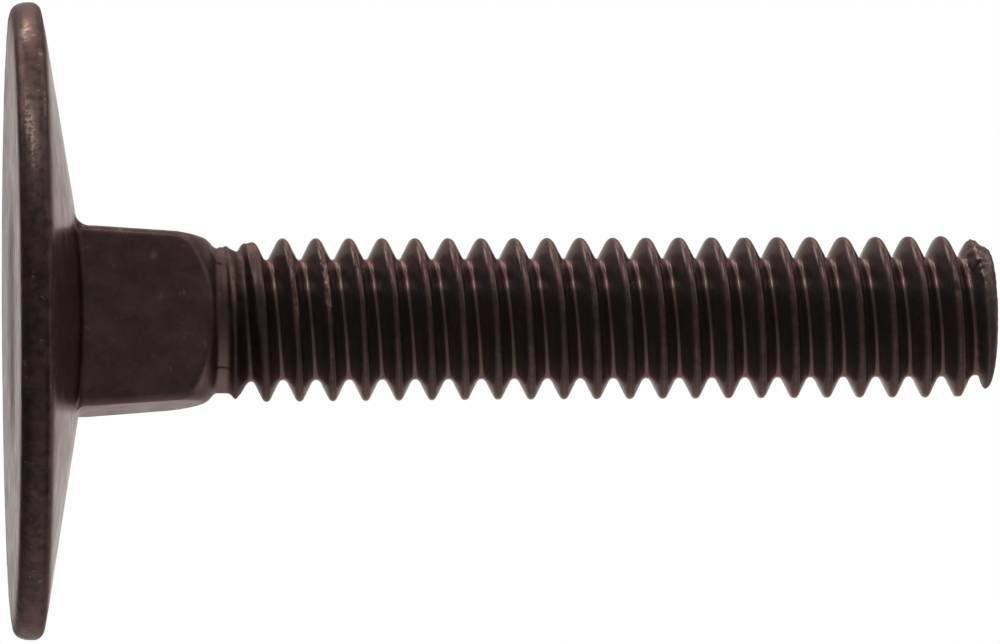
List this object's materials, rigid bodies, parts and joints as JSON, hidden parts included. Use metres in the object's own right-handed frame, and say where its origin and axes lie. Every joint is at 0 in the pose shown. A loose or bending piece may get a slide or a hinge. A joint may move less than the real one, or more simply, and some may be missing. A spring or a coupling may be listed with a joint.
{
  "type": "elevator bolt",
  "caption": "Dark steel bolt with a wide flat countersunk head, a tapered square neck that keeps it from turning, and a rolled right-hand thread to its tip.",
  "frame": {"origin": "centre of the head's flat face, on which the bolt stands", "axes": "+Z along the shank from the head to the tip; the four flats of the square neck face +X, -X, +Y and -Y"},
  "size_m": [0.0244, 0.0244, 0.0377],
  "materials": {
    "dark_steel": "dark oxide over cold-formed steel, satin"
  },
  "bodies": {
    "root": {"elevator_bolt": "dark_steel"}
  },
  "joints": []
}
